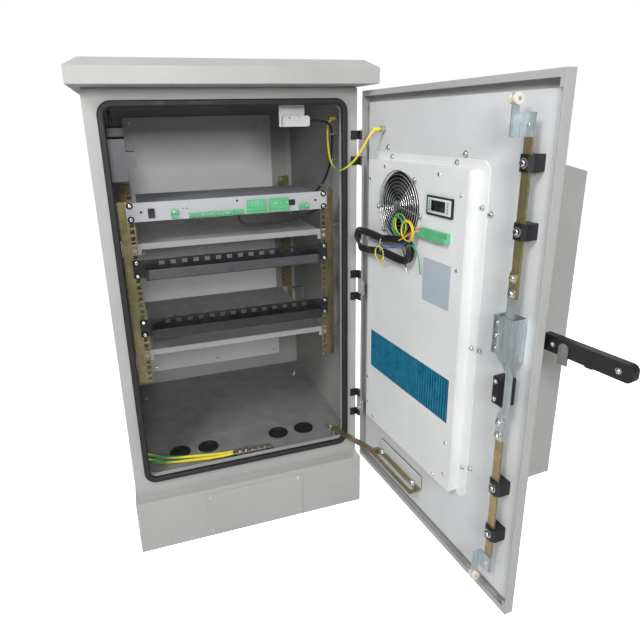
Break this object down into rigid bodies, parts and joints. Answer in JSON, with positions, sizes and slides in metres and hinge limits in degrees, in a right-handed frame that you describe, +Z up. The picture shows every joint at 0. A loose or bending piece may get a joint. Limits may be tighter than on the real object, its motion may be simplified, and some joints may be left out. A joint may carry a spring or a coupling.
{
  "type": "outdoor equipment cabinet",
  "caption": "Roadside equipment cabinet on a plinth with its door open: rack rails, shelves, cable managers and power unit inside, heat exchanger, rod lock and swing handle in the door.",
  "frame": {"origin": "centre of the plinth's base, at the middle of the four anchor holes", "axes": "+Z up, +X towards the hinge side, the front opening faces -Y"},
  "size_m": [0.8185, 1.307, 1.174],
  "materials": {
    "powder_grey": "fine-textured powder coat, light warm grey",
    "plate_grey": "smooth light grey paint",
    "zinc_yellow": "yellow passivated zinc with a green and pink sheen",
    "zinc_blue": "blue-white zinc",
    "seal_rubber": "matt black rubber",
    "black_plastic": "fine matt black",
    "green_plastic": "moulded green",
    "grey_plastic": "moulded grey",
    "white_plastic": "moulded white",
    "core_blue": "blue coated fins",
    "unit_grey": "light grey coated sheet",
    "steel": "bright plated steel",
    "cable_black": "black sheath",
    "cable_earth": "yellow sheath"
  },
  "bodies": {
    "cabinet": {"plinth": "powder_grey", "plinth_access_panel": "powder_grey", "front_frame": "powder_grey", "door_gasket": "seal_rubber", "right_side_panel": "powder_grey", "left_side_panel": "powder_grey", "rear_panel": "powder_grey", "top_plate": "powder_grey", "floor_plate": "powder_grey", "floor_cover_plate": "powder_grey", "cable_grommets": "seal_rubber", "roof": "powder_grey", "rear_mounting_plate": "powder_grey", "rack_rails_front": "zinc_yellow", "rack_rails_rear": "zinc_yellow", "rail_brackets": "zinc_blue", "shelf_upper": "powder_grey", "shelf_lower": "powder_grey", "power_unit": "unit_grey", "power_unit_terminals": "green_plastic", "cable_manager_upper": "black_plastic", "cable_manager_lower": "black_plastic", "rack_screws": "steel", "earth_terminals": "zinc_blue", "mains_socket": "grey_plastic", "mains_plug": "black_plastic", "door_contact": "white_plastic", "hinge_knuckles": "black_plastic", "stay_bracket": "zinc_yellow", "wall_cable": "cable_black", "unit_cable": "cable_black", "earth_cables": "cable_earth", "door_earth_strap": "cable_earth"},
    "door": {"door_panel": "powder_grey", "door_liner": "powder_grey", "exchanger_casing": "plate_grey", "fan_guard": "black_plastic", "exchanger_core": "core_blue", "controller_display": "white_plastic", "exchanger_terminal": "green_plastic", "exchanger_outer_casing": "powder_grey", "hinge_leaves": "powder_grey", "stay_rail": "zinc_yellow", "rod_guides": "black_plastic", "lock_gearbox": "zinc_blue", "handle_backing_block": "black_plastic", "handle_base": "black_plastic", "exchanger_hank": "cable_black", "door_earth_lug": "zinc_blue"},
    "stay": {"stay_arm": "zinc_yellow"},
    "handle": {"handle_spindle": "steel"},
    "lever": {"handle_lever": "black_plastic"},
    "key": {"lock_cylinder": "steel"},
    "flap": {"cylinder_flap": "grey_plastic"},
    "fan": {"fan_rotor": "black_plastic"},
    "rod_up": {"lock_rod_upper": "zinc_yellow"},
    "rod_down": {"lock_rod_lower": "zinc_yellow"},
    "rollers_up": {"roller_upper": "white_plastic"},
    "rollers_down": {"roller_lower": "white_plastic"},
    "switch": {"unit_switch": "black_plastic"}
  },
  "joints": [
    {"name": "door_swing", "type": "hinge", "parent": "cabinet", "child": "door", "pos_m": [0.308, -0.2765, 0.6], "axis": [0, 0, 1], "range_deg": [-95, 0], "deforming": ["door_earth_strap"]},
    {"name": "stay_turn", "type": "hinge", "parent": "cabinet", "child": "stay", "pos_m": [0.236, -0.2405, 0.2235], "axis": [0, 0, 1], "range_deg": [-106.5, 0]},
    {"name": "handle_turn", "type": "hinge", "parent": "door", "child": "handle", "pos_m": [0.37759, -0.8195, 0.7], "axis": [0.9962, 0.0872, 0], "range_deg": [0, 90]},
    {"name": "handle_lift", "type": "hinge", "parent": "handle", "child": "lever", "pos_m": [0.38954, -0.81846, 0.7], "axis": [0, 0, 1], "range_deg": [-4, 20]},
    {"name": "key_turn", "type": "hinge", "parent": "lever", "child": "key", "pos_m": [0.40425, -0.9113, 0.7], "axis": [0.9877, 0.1564, 0], "range_deg": [0, 90]},
    {"name": "flap_swivel", "type": "hinge", "parent": "lever", "child": "flap", "pos_m": [0.39067, -0.88308, 0.7], "axis": [0.9877, 0.1564, 0], "range_deg": [-90, 30]},
    {"name": "fan_spin", "type": "hinge", "parent": "door", "child": "fan", "pos_m": [0.3176, -0.48947, 0.877], "axis": [0.9962, 0.0872, 0], "continuous": true},
    {"name": "upper_rod_slide", "type": "slide", "parent": "door", "child": "rod_up", "axis": [0, 0, 1], "range_m": [0, 0.012]},
    {"name": "lower_rod_slide", "type": "slide", "parent": "door", "child": "rod_down", "axis": [0, 0, -1], "range_m": [0, 0.012]},
    {"name": "upper_rollers_spin", "type": "hinge", "parent": "rod_up", "child": "rollers_up", "pos_m": [0.31933, -0.80753, 1.074], "axis": [0.0872, -0.9962, 0], "continuous": true},
    {"name": "lower_rollers_spin", "type": "hinge", "parent": "rod_down", "child": "rollers_down", "pos_m": [0.31933, -0.80753, 0.208], "axis": [0.0872, -0.9962, 0], "continuous": true},
    {"name": "switch_rock", "type": "hinge", "parent": "cabinet", "child": "switch", "pos_m": [-0.18628, -0.2155, 0.85485], "axis": [1, 0, 0], "range_deg": [-9, 0]}
  ],
  "couplings": [
    {"joint": "stay_turn", "follows": "door_swing", "ratio": 1.1162},
    {"joint": "upper_rod_slide", "follows": "handle_turn", "m_per_rad": 0.0076394},
    {"joint": "lower_rod_slide", "follows": "handle_turn", "m_per_rad": 0.0076394}
  ]
}
